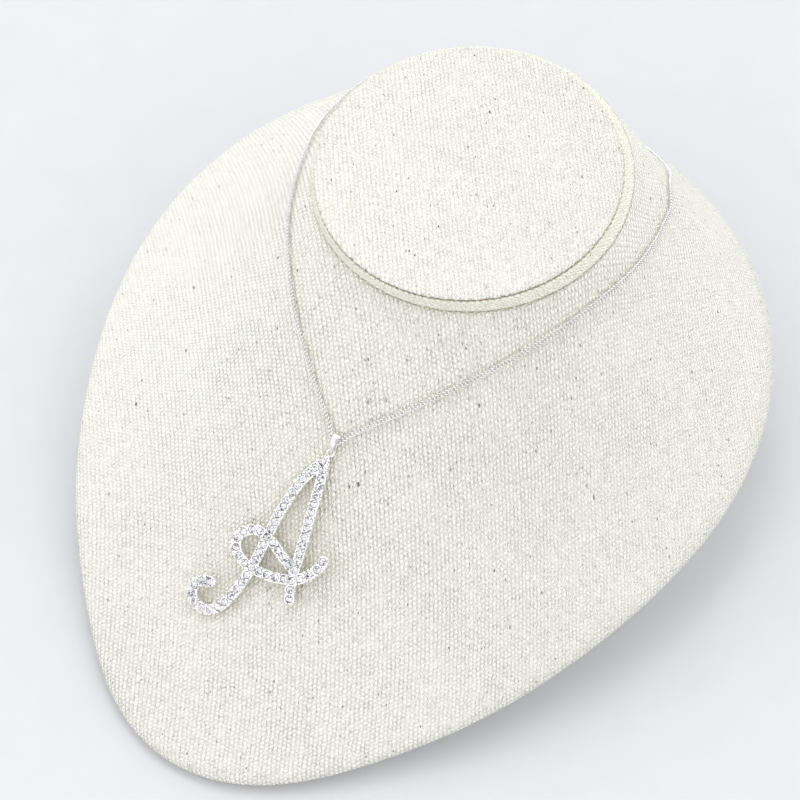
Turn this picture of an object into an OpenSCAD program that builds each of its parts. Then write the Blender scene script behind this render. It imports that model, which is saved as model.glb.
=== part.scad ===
// Openwork script-initial pendant set with round stones, on a fine chain,
// resting on a low cloth-covered neck bust.
// Millimetres. X right, +Y towards the neck end, Z up, table at Z = 0.

/* [Bust outline] */
// Mean radius of the chest outline
rim_mean = 120.4; // [80:1:160]
// Length added towards the neck end and taken off at the tip
rim_egg = 52; // [0:1:80]
// Length added at both ends and taken off at the sides
rim_oval = 22.2; // [0:0.2:40]
// Small fullness beside the tip
rim_full = 1.4; // [0:0.1:5]
// Height of the outline's widest line at the sides
rim_lift = 21; // [10:0.5:40]
// How much the outline rises at the neck end and falls at the tip
rim_rise = 18; // [0:0.5:30]
// Width of the rolled edge
roll_w = 5; // [2:0.5:10]
// Height of the rolled edge above the widest line
roll_h = 3.5; // [1:0.5:8]
// Depth of the rolled edge below the widest line
roll_under = 2.6; // [1:0.1:5]
// Inset of the foot at the tip
foot_tip = 12; // [6:1:30]
// Extra inset of the foot at the neck end
foot_back = 40; // [0:1:60]

/* [Bust neck] */
// Half width of the neck where the chest cloth ends
neck_a = 53.2; // [40:0.1:70]
// Half depth of the neck where the chest cloth ends
neck_b = 53.2; // [40:0.1:70]
// Centre of the neck along Y
neck_y = 47.4; // [20:0.1:80]
// Height of the neck opening at its centre
neck_z = 102.8; // [60:0.1:150]
// Lean of the neck opening towards the tip, degrees
neck_lean = 5.6; // [0:0.1:15]
// Drop of the chest where it leaves the neck
fall_neck = 109; // [40:1:200]
// Extra drop there on the tip side
fall_neck_tip = 30; // [0:1:60]
// Drop of the chest where it reaches the outline
fall_rim = 16; // [0:1:80]
// Extra drop there at the neck end
fall_rim_back = 2; // [0:1:20]
// Extra drop there at the sides
fall_rim_side = 8.4; // [0:0.1:20]
// Fullness of the back beside the neck
full_neck = 16; // [0:1:60]
// Fullness of the back beside the outline
full_rim = 50; // [0:1:80]
// Angle from the tip at which the back is fullest
full_at = 145; // [110:1:180]
// Spread of that fullness, degrees
full_wide = 16; // [10:1:60]

/* [Neck pad] */
// Half width of the pad on top of the neck
pad_a = 50; // [40:0.1:70]
// Half depth of the pad
pad_b = 50.9; // [40:0.1:70]
// Centre of the pad along Y
pad_y = 44.7; // [20:0.1:80]
// Height of the pad's widest line
pad_z = 108.4; // [60:0.1:150]
// Lean of the pad towards the tip, degrees
pad_lean = 4.2; // [0:0.1:15]
// Thickness of the pad
pad_h = 2.8; // [1:0.1:6]

/* [Chain] */
// Diameter of the chain's envelope
chain_d = 1.6; // [1:0.1:3]
// Gap between the chain and the cloth
chain_gap = 0.35; // [0.1:0.05:1]
// Share of the way to the outline at which the chain crosses the back
tail_s = 0.56; // [0.2:0.01:0.8]
// Length of the clasp behind the neck
clasp_l = 11; // [6:0.5:16]
// Width of the clasp
clasp_w = 4; // [2:0.5:6]
// Thickness of the clasp
clasp_t = 2; // [1:0.1:3]

/* [Pendant] */
// Width of a stroke
stroke_w = 3.4; // [2:0.1:5]
// Thickness of the setting plate
plate_t = 1.8; // [1:0.1:3]
// Diameter of a stone
stone_d = 2.5; // [1.5:0.1:3]
// Slope of the pendant on the chest, degrees
hang_slope = 37; // [20:0.5:60]
// Place of the apex along Y
apex_y = -45.6; // [-60:0.1:-30]
// Height of the apex, back of the plate
apex_z = 59.7; // [40:0.1:80]

/* [Bail] */
// Width of the bail where it holds the chain
bail_w = 2.8; // [1.5:0.1:4]
// Width of the bail where it holds the ring
bail_w_low = 0.9; // [0.6:0.1:2]
// Thickness of the bail's band
bail_t = 0.4; // [0.3:0.05:0.8]
// Length of the bail
bail_l = 6.6; // [4:0.1:8]
// Depth of the bail's opening around the chain
bail_open = 2.2; // [1.8:0.1:3]

/* [Hidden] */
RINGS = 96;
cloth = [0.93, 0.92, 0.87];
silver = [0.86, 0.87, 0.89];
clear = [0.93, 0.96, 1.0];

// Outline of the chest, a = 0 at the tip and 180 behind the neck.
function rim_r(a) = rim_mean - rim_egg * cos(a) + rim_oval * cos(2 * a) + rim_full * cos(5 * a);
rim_y = (rim_r(0) - rim_r(180)) / 2;
function rim_z(a) = rim_lift - rim_rise * cos(a);
function rim_pt(a, inset = 0, drop = 0) = [
    (rim_r(a) - inset) * sin(a), rim_y - (rim_r(a) - inset) * cos(a), rim_z(a) - drop];

// A leaning ellipse, made smaller by inset and raised by up.
function oval_pt(a, ra, rb, cy, cz, lean, inset, up) = [
    (ra - inset) * sin(a), cy - (rb - inset) * cos(a),
    cz + up - tan(lean) * (rb - inset) * cos(a)];
function neck_pt(a, inset = 0, up = 0) = oval_pt(a, neck_a, neck_b, neck_y, neck_z, neck_lean, inset, up);
function pad_pt(a, inset = 0, up = 0) = oval_pt(a, pad_a, pad_b, pad_y, pad_z, pad_lean, inset, up);

// Chest surface from the neck, s = 0, to the outline, s = 1.
function plan_l(a) = norm([rim_pt(a)[0] - neck_pt(a)[0], rim_pt(a)[1] - neck_pt(a)[1]]);
function hermite(z0, m0, z1, m1, s) = (2 * s * s * s - 3 * s * s + 1) * z0 + (s * s * s - 2 * s * s + s) * m0
    + (3 * s * s - 2 * s * s * s) * z1 + (s * s * s - s * s) * m1;
function roll_drop(d) = d >= roll_w ? 0 : roll_h * (1 - sqrt(max(0, 1 - pow((roll_w - d) / roll_w, 2))));
function turned(a) = abs(a > 180 ? a - 360 : a);
function full(a) = exp(-pow((turned(a) - full_at) / full_wide, 2));
function fall_in(a) = fall_neck + fall_neck_tip * cos(a) - full_neck * full(a);
function fall_out(a) = fall_rim - fall_rim_back * cos(a) - fall_rim_side * cos(2 * a) + full_rim * full(a);
function chest_z(a, s) = hermite(neck_pt(a)[2], -fall_in(a), rim_z(a) + roll_h, -fall_out(a), s)
    - roll_drop((1 - s) * plan_l(a));
function chest_pt(a, s) = let (n = neck_pt(a), r = rim_pt(a)) [
    n[0] + (r[0] - n[0]) * s, n[1] + (r[1] - n[1]) * s, chest_z(a, s)];
function unit(v) = v / norm(v);
function chest_up(a, s) = let (p = chest_pt(a, s))
    unit(cross(chest_pt(a, s + 0.01) - p, chest_pt(a + 1, s) - p));

// Closed skin over equal rings, with a flat cap at both ends.
function ring_faces(n, m) = concat(
    [[for (k = [n - 1 : -1 : 0]) k]],
    [for (j = [0 : m - 2]) for (k = [0 : n - 1]) let (k2 = (k + 1) % n)
        for (f = [[j * n + k, j * n + k2, (j + 1) * n + k],
                  [j * n + k2, (j + 1) * n + k2, (j + 1) * n + k]]) f],
    [[for (k = [0 : n - 1]) (m - 1) * n + k]]);
module skin(rings) {
    n = len(rings[0]);
    polyhedron(points = [for (r = rings) for (p = r) p], faces = ring_faces(n, len(rings)), convexity = 8);
}
turn = [for (k = [0 : RINGS - 1]) k * 360 / RINGS];

// Distances from the outline at which the rolled edge is drawn.
ROLL_AT = [5, 3.2, 1.8, 0.8, 0.2];
SPREAD = [0, 0.02, 0.05, 0.09, 0.14, 0.2, 0.26, 0.33, 0.4, 0.47, 0.54, 0.61, 0.68, 0.75, 0.82, 0.89, 0.95, 1];
// Top of the neck under the band: inset and rise.
LIP = [[2.2, -0.3], [0.7, -0.1]];
// Underside of the rolled edge: inset and drop.
UNDER = [[0, 0], [0.5, 1], [2, 2.1], [4.5, roll_under]];
function foot_inset(a) = foot_tip + foot_back * (1 - cos(a)) / 2;
function foot_pt(a) = let (p = rim_pt(a, foot_inset(a))) [p[0], p[1], 0];

module bust_body() {
    color(cloth) skin(concat(
        [for (q = LIP) [for (a = turn) neck_pt(a, q[0], q[1])]],
        [for (t = SPREAD) [for (a = turn) chest_pt(a, t * (1 - roll_w / plan_l(a)))]],
        [for (d = ROLL_AT) if (d < roll_w) [for (a = turn) chest_pt(a, 1 - d / plan_l(a))]],
        [for (q = UNDER) [for (a = turn) rim_pt(a, q[0], q[1])]],
        [[for (a = turn) foot_pt(a)]]));
}

// Band of cloth from the chest up to the pad: blend, inset and rise.
BAND = [[0, 2, 0.05], [0, 0.8, 0.3], [0.1, 0.1, 0.3], [0.3, -0.3, 0.2],
    [0.6, -0.3, 0], [0.82, 0.2, 0], [0.95, 0.9, -0.1], [1, 2.2, 0]];
band_top = -1.4;
function band_pt(a, q) = neck_pt(a, q[1], q[2]) * (1 - q[0]) + pad_pt(a, q[1], band_top + q[2]) * q[0];
module neck_band() {
    color(cloth) skin([for (b = [len(BAND) - 1 : -1 : 0]) [for (a = turn) band_pt(a, BAND[b])]]);
}

// Pad profile from the top down: inset, and height as a share of the pad's thickness.
PAD = [[30, 0.57], [12, 0.54], [5, 0.46], [2.4, 0.375], [1, 0.23], [0.25, 0.09],
    [0, -0.035], [0.3, -0.21], [1.1, -0.36], [2.4, -0.43]];
module neck_pad() {
    color(cloth) skin([for (q = PAD) [for (a = turn) pad_pt(a, q[0], q[1] * pad_h)]]);
}

// Smooth curve through chosen points.
function blend(p0, p1, p2, p3, t) = 0.5 * (2 * p1 + (p2 - p0) * t + (2 * p0 - 5 * p1 + 4 * p2 - p3) * t * t
    + (3 * p1 - p0 - 3 * p2 + p3) * t * t * t);
function curve(P, n) = concat([for (i = [0 : len(P) - 2]) for (k = [0 : n - 1])
    blend(P[max(i - 1, 0)], P[i], P[i + 1], P[min(i + 2, len(P) - 1)], k / n)], [P[len(P) - 1]]);
function run(P) = [for (i = 0, d = 0; i < len(P);
    d = d + (i + 1 < len(P) ? norm(P[i + 1] - P[i]) : 0), i = i + 1) d];
function table(P, c) = let (d = run(P)) [for (i = [0 : len(P) - 1]) [d[i], P[i][c]]];

// Chain route from the clasp round the right side to the bail and back:
// angle on the bust, share of the way to the outline, extra lift off the cloth.
clasp_gap = 0.2;
tail_r = (1 - tail_s) * neck_a + tail_s * rim_r(180);
tail_a = 180 - asin((clasp_l / 2 + clasp_gap) / tail_r);
ROUTE = [
    [tail_a, tail_s, 0], [168, 0.53, 0], [160, 0.475, 0], [152.5, 0.4, 0], [146, 0.33, 0], [142.5, 0.304, 0],
    [139.5, 0.294, 0], [136.5, 0.282, 0], [133, 0.258, 0], [129, 0.231, 0], [123, 0.204, 0], [116, 0.175, 0],
    [98.5, 0.121, 0], [81.5, 0.087, 0], [64, 0.082, 0], [50, 0.097, 0], [37, 0.122, 0], [24.5, 0.157, 0],
    [13, 0.201, 0], [6, 0.236, 0.15], [3.5, 0.2545, 0.5], [2.65, 0.261, 0.6], [2, 0.264, 0.6],
    [1.4, 0.2645, 0.6], [0.8, 0.264, 0.6], [0.15, 0.261, 0.55], [-0.65, 0.2545, 0.4], [-3.4, 0.236, 0.05],
    [-11, 0.201, 0], [-20, 0.166, 0], [-31, 0.136, 0], [-43, 0.106, 0], [-57, 0.083, 0], [-70, 0.067, 0],
    [-82, 0.061, 0], [-89, 0.076, 0], [-96, 0.11, 0], [-104, 0.148, 0], [-113, 0.21, 0], [-122, 0.275, 0],
    [-132, 0.34, 0], [-143, 0.41, 0], [-154, 0.47, 0], [-164, 0.52, 0], [-172, 0.55, 0], [-tail_a, tail_s, 0]];
route = curve(ROUTE, 12);
function route_pt(q) = chest_pt(q[0], q[1]) + chest_up(q[0], q[1]) * (chain_d / 2 + chain_gap + q[2]);
chain_line = [for (q = route) route_pt(q)];
chain_run = run(chain_line);
chain_len = chain_run[len(chain_run) - 1];
chain_x = table(chain_line, 0);
chain_y = table(chain_line, 1);
chain_z = table(chain_line, 2);
function chain_at(d) = [lookup(d, chain_x), lookup(d, chain_y), lookup(d, chain_z)];
// Ring places, closer together in the bend at the bail.
chain_mid = chain_len / 2;
NEAR = [0, 0.7, 1.5, 2.6, 4.2, 6.5];
FAR = 32;
half_d = concat(NEAR, [for (k = [1 : FAR]) 6.5 + (chain_mid - 6.5) * k / FAR]);
chain_d_at = concat([for (k = [len(half_d) - 1 : -1 : 1]) chain_mid - half_d[k]],
    [for (h = half_d) chain_mid + h]);
function tube_ring(p, dir, r, n) = let (w = unit(dir), u = unit(cross(w, [0, 0, 1])), v = cross(u, w))
    [for (k = [0 : n - 1]) p + r * (cos(k * 360 / n) * u + sin(k * 360 / n) * v)];
module chain() {
    color(silver) skin([for (d = chain_d_at) tube_ring(chain_at(d),
        chain_at(min(d + 0.3, chain_len)) - chain_at(max(d - 0.3, 0)), chain_d / 2, 8)]);
}

// Plain oval clasp lying between the two ends of the chain: place along it and share of its width.
CLASP = [[-1, 0.3], [-0.85, 0.65], [-0.45, 1], [0.45, 1], [0.85, 0.65], [1, 0.3]];
CLASP_N = 16;
clasp_lift = 0.6;
module clasp() {
    up = chest_up(180, tail_s);
    across = cross(up, [1, 0, 0]);
    mid = chest_pt(180, tail_s) + up * (clasp_t / 2 + clasp_lift);
    color(silver) skin([for (q = CLASP) [for (k = [0 : CLASP_N - 1]) let (t = k * 360 / CLASP_N)
        mid + [q[0] * clasp_l / 2, 0, 0] + q[1] * (up * clasp_t * cos(t) + across * clasp_w * sin(t)) / 2]]);
}

// Strokes of the pendant in its own plane: X across, Y up to the apex.
LEFT_LEG = [[0.45, -3.3], [-1.3, -7], [-3.1, -11], [-4.4, -15.5], [-5.2, -20.5], [-5.9, -25],
    [-6.3, -31], [-6.6, -38], [-7.1, -45], [-8.3, -52], [-10.3, -58.5], [-12.3, -62], [-15, -64.2],
    [-18, -64.6], [-21, -63.5], [-22.7, -61], [-22.2, -57.9], [-20.2, -56], [-18, -55.5]];
RIGHT_LEG = [[1.2, -3.3], [1.7, -5.5], [2.6, -10], [3.4, -15], [4.1, -20.5], [4.9, -25.5], [5.7, -31],
    [6.4, -36], [7, -41], [8, -45.5], [9.6, -50]];
CROSS_BAR = [[6.7, -39.3], [3.5, -38], [0.3, -36.6], [-2.8, -34.9], [-6.6, -33.5], [-10.3, -33],
    [-13.5, -34.5], [-15.4, -37], [-15.4, -40], [-13.6, -42.7], [-10.3, -44.5], [-6.5, -45],
    [-0.5, -44.7], [4.2, -43.5], [7.7, -42.3], [10.4, -40], [12.5, -37.4], [14, -34.6], [14.4, -32]];
APEX = [1.3, -1.35];
apex_d = 1.5;
FINE = 8;
STROKES = [for (P = [LEFT_LEG, RIGHT_LEG, CROSS_BAR]) curve(P, FINE)];

// Rows of stones: stroke, distance of the first and of the last stone along it, how many.
STONE_ROWS = [
    [0, 0, 0, 1], [0, 3.1, 31.4, 11], [0, 34.25, 42.8, 4], [0, 45.75, 81.6, 13],
    [1, 2.5, 36.3, 13], [1, 39.9, 39.9, 1], [1, 42.9, 45.9, 2],
    [2, 2.8, 11.7, 4], [2, 17.3, 35.6, 7], [2, 41.2, 50.3, 4], [2, 55.9, 65.9, 4]];
function row(r) = let (P = STROKES[r[0]], tx = table(P, 0), ty = table(P, 1),
    step = (r[2] - r[1]) / max(1, r[3] - 1))
    [for (k = [0 : r[3] - 1]) let (d = r[1] + step * k) [lookup(d, tx), lookup(d, ty)]];
stones_at = [for (r = STONE_ROWS) for (p = row(r)) p];

function side(P, i) = let (t = unit(P[min(i + 1, len(P) - 1)] - P[max(i - 1, 0)])) [-t[1], t[0]];
module stroke(P) {
    L = [for (i = [0 : 2 : len(P) - 1]) P[i] + side(P, i) * stroke_w / 2];
    R = [for (i = [len(P) - 1 : -2 : 0]) P[i] - side(P, i) * stroke_w / 2];
    polygon(concat(L, R));
}
module letter_outline() {
    for (P = STROKES) stroke(P);
    for (P = [LEFT_LEG, CROSS_BAR]) translate(P[len(P) - 1]) circle(d = stroke_w, $fn = 20);
    hull() {
        translate(APEX) circle(d = apex_d, $fn = 16);
        translate(LEFT_LEG[0]) circle(d = stroke_w, $fn = 20);
        translate(RIGHT_LEG[0]) circle(d = stroke_w, $fn = 20);
    }
}

// Heights of a stone's girdle, crown and pavilion, and the seat cut for it.
girdle_z = plate_t - 0.15;
crown_h = 0.42;
pavilion_h = 1.05;
seat_gap = 0.1;
seat_foot = 0.35;
seat_open = 1;
seat_floor = girdle_z - pavilion_h - 0.15;
module seat() {
    r = stone_d / 2 + seat_gap;
    translate([0, 0, seat_floor]) cylinder(h = pavilion_h, r1 = seat_foot, r2 = r, $fn = 16);
    translate([0, 0, seat_floor + pavilion_h]) cylinder(h = seat_open, r = r, $fn = 16);
}

// Ring at the apex that the bail passes through.
RING_AT = [1.55, 0.3];
ring_hole = 0.8;
ring_wire = 0.65;
module hang() {
    translate([0, apex_y, apex_z]) rotate([hang_slope, 0, 0]) children();
}
module frame() {
    color(silver) hang() {
        difference() {
            linear_extrude(height = plate_t) letter_outline();
            for (p = stones_at) translate(p) seat();
        }
        translate([RING_AT[0], RING_AT[1], plate_t / 2]) rotate_extrude($fn = 32)
            translate([ring_hole + ring_wire / 2, 0]) circle(d = ring_wire, $fn = 16);
    }
}

// Brilliant with an eight-sided table, 24 crown facets and 16 below the girdle.
GIRDLE = 16;
girdle_t = 0.08;
table_r = 0.56;
module stone() {
    r = stone_d / 2;
    T = [for (k = [0 : 7]) [table_r * r * cos(45 * k), table_r * r * sin(45 * k), crown_h]];
    G = [for (k = [0 : 15]) [r * cos(22.5 * k), r * sin(22.5 * k), girdle_t / 2]];
    H = [for (k = [0 : 15]) [r * cos(22.5 * k), r * sin(22.5 * k), -girdle_t / 2]];
    pts = concat(T, G, H, [[0, 0, -pavilion_h]]);
    g = 8;
    h = 24;
    tip = 40;
    faces = concat(
        [[for (k = [7 : -1 : 0]) k]],
        [for (k = [0 : 7]) [k, (k + 1) % 8, g + 2 * k + 1]],
        [for (k = [0 : 7]) [k, g + 2 * k + 1, g + 2 * k]],
        [for (k = [0 : 7]) [k, g + 2 * k, g + (2 * k + 15) % 16]],
        [for (k = [0 : 15]) [g + k, g + (k + 1) % 16, h + (k + 1) % 16, h + k]],
        [for (k = [0 : 15]) [h + k, h + (k + 1) % 16, tip]]);
    polyhedron(points = pts, faces = faces, convexity = 2);
}
module stones() {
    color(clear) hang() for (p = stones_at) translate([p[0], p[1], girdle_z]) stone();
}

// Bail: a flaring band bent round the chain above and the ring below,
// drawn in the pendant's own Y and Z from its foot round and back to it.
BAIL_N = 28;
bail_foot = 0.35;
bail_pinch = 0.12;
bail_rise = 0.65;
rise_from = 0.15;
rise_over = 0.4;
function bail_up(k) = (1 - cos(k * 360 / BAIL_N)) / 2;
function bail_mid(k) = let (up = bail_up(k)) [
    bail_foot + bail_t / 2 + (bail_l - bail_t) * up,
    plate_t / 2 + sin(k * 360 / BAIL_N) * (bail_open + bail_t) / 2 * (1 - bail_pinch * (1 - up))
        + bail_rise * min(1, max(0, (up - rise_from) / rise_over))];
function bail_half(k) = (bail_w_low + (bail_w - bail_w_low) * bail_up(k)) / 2;
function bail_out(k) = let (t = unit(bail_mid(k + 1) - bail_mid(k - 1))) [t[1], -t[0]] * bail_t / 2;
module bail() {
    pts = [for (k = [0 : BAIL_N - 1]) let (m = bail_mid(k), o = bail_out(k), w = bail_half(k))
        for (q = [[-w, 1], [w, 1], [w, -1], [-w, -1]])
            [RING_AT[0] + q[0], m[0] + q[1] * o[0], m[1] + q[1] * o[1]]];
    faces = [for (k = [0 : BAIL_N - 1]) let (k2 = (k + 1) % BAIL_N) for (j = [0 : 3]) let (j2 = (j + 1) % 4)
        for (f = [[4 * k + j, 4 * k + j2, 4 * k2 + j], [4 * k2 + j, 4 * k + j2, 4 * k2 + j2]]) f];
    color(silver) hang() polyhedron(points = pts, faces = faces, convexity = 4);
}

bust_body();
neck_band();
neck_pad();
chain();
clasp();
bail();
frame();
stones();
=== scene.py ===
import math

import bpy
import numpy as np
from mathutils import Matrix, Vector


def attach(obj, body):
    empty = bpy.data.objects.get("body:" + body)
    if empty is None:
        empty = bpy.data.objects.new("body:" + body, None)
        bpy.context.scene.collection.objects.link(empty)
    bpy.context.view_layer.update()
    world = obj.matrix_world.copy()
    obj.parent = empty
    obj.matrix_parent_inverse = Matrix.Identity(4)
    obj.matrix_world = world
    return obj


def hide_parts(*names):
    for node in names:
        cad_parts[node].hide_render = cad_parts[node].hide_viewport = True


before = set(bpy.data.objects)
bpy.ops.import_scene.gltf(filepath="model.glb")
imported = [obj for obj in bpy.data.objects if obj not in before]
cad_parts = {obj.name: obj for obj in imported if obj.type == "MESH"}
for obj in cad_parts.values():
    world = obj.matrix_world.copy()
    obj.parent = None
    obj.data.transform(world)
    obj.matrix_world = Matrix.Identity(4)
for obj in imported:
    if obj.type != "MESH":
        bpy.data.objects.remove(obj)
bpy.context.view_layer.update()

# Sizes below are millimetres, as in the part's source; meshes are scaled to metres when made.
MM = 0.001
SEED = 7
rng = np.random.default_rng(SEED)

# Camera: the photograph's viewpoint, taken as an 800 x 800 picture
VIEW_AZIMUTH = 30.348
VIEW_ELEVATION = 55.916
VIEW_ROLL = 0.093
VIEW_AT = (13.464, -22.047, 69.654)
VIEW_DISTANCE = 645.16
LENS = 90.0
SENSOR = 36.0

# Bust outline and rolled edge
RIM_MEAN = 120.4
RIM_EGG = 52
RIM_OVAL = 22.2
RIM_FULL = 1.4
RIM_LIFT = 21
RIM_RISE = 18
ROLL_W = 5
ROLL_H = 3.5
ROLL_UNDER = 2.6
FOOT_TIP = 12
FOOT_BACK = 40

# Neck opening, and the fall of the chest from it
NECK_R = 53.2
NECK_Y = 47.4
NECK_Z = 102.8
NECK_LEAN = math.radians(5.6)
FALL_NECK = 109
FALL_NECK_TIP = 30
FALL_RIM = 16
FALL_RIM_BACK = 2
FALL_RIM_SIDE = 8.4
FULL_NECK = 16
FULL_RIM = 50
FULL_AT = math.radians(145)
FULL_WIDE = math.radians(16)

# Pad on top of the neck
PAD_A = 50
PAD_B = 50.9
PAD_Y = 44.7
PAD_Z = 108.4
PAD_LEAN = math.radians(4.2)
PAD_H = 2.8
BAND_TOP = -1.4

# Chain
CHAIN_D = 1.6
CHAIN_GAP = 0.35
TAIL_S = 0.56
CLASP_L = 11
CLASP_W = 4
CLASP_T = 2
CLASP_LIFT = 0.6
CLASP_GAP = 0.2

# Pendant
HANG_SLOPE = math.radians(37)
HANG_NORMAL = (0, -math.sin(HANG_SLOPE), math.cos(HANG_SLOPE))
APEX_Y = -45.6
APEX_Z = 59.7
PLATE_T = 1.8
STROKE_W = 3.4
RING_AT = (1.55, 0.3)
BAIL_W = 2.8
BAIL_W_LOW = 0.9
BAIL_T = 0.4
BAIL_L = 6.6
BAIL_OPEN = 2.2
BAIL_FOOT = 0.35
BAIL_PINCH = 0.12
BAIL_RISE = 0.65
RISE_FROM = 0.15
RISE_OVER = 0.4


# Vectors

def unit(v):
    return v / np.linalg.norm(v, axis=-1, keepdims=True)


def stack(x, y, z):
    return np.stack(np.broadcast_arrays(x, y, z), axis=-1)


# Meshes

def grid_faces(rows, columns, closed_rows=False):
    """Quads over a grid whose columns close round; rows close too for a ring."""
    last = rows if closed_rows else rows - 1
    faces = []
    for j in range(last):
        a, b = j * columns, ((j + 1) % rows) * columns
        faces += [
            (a + k, a + (k + 1) % columns, b + (k + 1) % columns, b + k)
            for k in range(columns)
        ]
    return faces


def make_piece(name, points, faces, material, nodes=(), threads=None, smooth=True):
    """A mesh object from points in millimetres, riding on the one body."""
    mesh = bpy.data.meshes.new(name)
    mesh.from_pydata((np.asarray(points).reshape(-1, 3) * MM).tolist(), [], faces)
    mesh.materials.append(material)
    if smooth:
        mesh.shade_smooth()
    if threads is not None:
        attribute = mesh.attributes.new("weave", "FLOAT_VECTOR", "POINT")
        attribute.data.foreach_set("vector", threads.astype(np.float32).ravel())
    mesh.validate()
    piece = bpy.data.objects.new(name, mesh)
    bpy.context.scene.collection.objects.link(piece)
    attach(piece, "root")
    if nodes:
        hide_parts(*nodes)
    return piece


# Surface of the bust, a = 0 at the tip and pi behind the neck

def rim_r(a):
    return (
        RIM_MEAN
        - RIM_EGG * np.cos(a)
        + RIM_OVAL * np.cos(2 * a)
        + RIM_FULL * np.cos(5 * a)
    )


RIM_Y = (rim_r(0) - rim_r(math.pi)) / 2


def rim_z(a):
    return RIM_LIFT - RIM_RISE * np.cos(a)


def rim_pt(a, inset=0, drop=0):
    r = rim_r(a) - inset
    return stack(r * np.sin(a), RIM_Y - r * np.cos(a), rim_z(a) - drop)


def oval_pt(a, ra, rb, cy, cz, lean, inset, up):
    y = (rb - inset) * np.cos(a)
    return stack((ra - inset) * np.sin(a), cy - y, cz + up - math.tan(lean) * y)


def neck_pt(a, inset=0, up=0):
    return oval_pt(a, NECK_R, NECK_R, NECK_Y, NECK_Z, NECK_LEAN, inset, up)


def pad_pt(a, inset=0, up=0):
    return oval_pt(a, PAD_A, PAD_B, PAD_Y, PAD_Z, PAD_LEAN, inset, up)


def plan_l(a):
    return np.linalg.norm((rim_pt(a) - neck_pt(a))[..., :2], axis=-1)


def full(a):
    turned = np.abs((np.asarray(a) + math.pi) % (2 * math.pi) - math.pi)
    return np.exp(-(((turned - FULL_AT) / FULL_WIDE) ** 2))


def chest_z(a, s):
    z0, z1 = neck_pt(a)[..., 2], rim_z(a) + ROLL_H
    m0 = -(FALL_NECK + FALL_NECK_TIP * np.cos(a) - FULL_NECK * full(a))
    m1 = -(
        FALL_RIM
        - FALL_RIM_BACK * np.cos(a)
        - FALL_RIM_SIDE * np.cos(2 * a)
        + FULL_RIM * full(a)
    )
    z = (2 * s**3 - 3 * s**2 + 1) * z0 + (s**3 - 2 * s**2 + s) * m0
    z = z + (3 * s**2 - 2 * s**3) * z1 + (s**3 - s**2) * m1
    into_roll = np.clip(1 - (1 - s) * plan_l(a) / ROLL_W, 0, 1)
    return z - ROLL_H * (1 - np.sqrt(1 - into_roll**2))


def chest_pt(a, s):
    n, r = neck_pt(a), rim_pt(a)
    s = np.asarray(s, float)
    plan = n[..., :2] + (r - n)[..., :2] * s[..., None]
    return stack(plan[..., 0], plan[..., 1], chest_z(a, s))


def chest_up(a, s):
    p = chest_pt(a, s)
    return unit(
        np.cross(chest_pt(a, s + 0.01) - p, chest_pt(a + math.radians(1), s) - p)
    )


# Weave of the linen: threads run along and across the picture, seen in plan
WARP_PITCH = 1.48
WEFT_PITCH = 0.68
across_view = np.array(
    [math.cos(math.radians(VIEW_AZIMUTH)), math.sin(math.radians(VIEW_AZIMUTH))]
)
along_view = np.array([-across_view[1], across_view[0]])


def cloth_plan(rings, edge, relaxed):
    """The cloth laid flat as seen from above, with a share of its slope let out.

    Past the ring numbered edge it turns down, and there its whole length is laid outward.
    """
    plan = np.array(rings[..., :2])
    outward = unit(rings[edge, :, :2] - rings[edge - 1, :, :2])
    for j in range(1, len(rings)):
        step = rings[j] - rings[j - 1]
        length = np.linalg.norm(step, axis=-1, keepdims=True)
        if j > edge:
            plan[j] = plan[j - 1] + outward * length
        else:
            level = np.linalg.norm(step[:, :2], axis=-1, keepdims=True)
            plan[j] = plan[j - 1] + step[:, :2] + outward * (length - level) * relaxed
    return plan


# On the right the threads lie closer together: by which share, from where, mm across the view,
# and over which width the change comes in.
CLOSER = 0.27
CLOSER_FROM = 20.0
CLOSER_OVER = 35.0

# The chest's threads bow: turn per millimetre along the view, and where they run straight.
BOW = 0.0018
BOW_FROM = -85.0


def weave(plan, openness_and_shade, lean=0.0, bow=0.0):
    """Thread coordinates across and along the view, and how open the weave is, which scales its
    painted shade.
    """
    u, v = plan @ across_view, plan @ along_view
    aside = lean * v + bow * (v - BOW_FROM) ** 2 / 2
    past = u - CLOSER_FROM
    u = u + CLOSER * (np.sqrt(past**2 + CLOSER_OVER**2) + past) / 2
    return stack(u + aside, v, openness_and_shade)


# Node graphs

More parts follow.
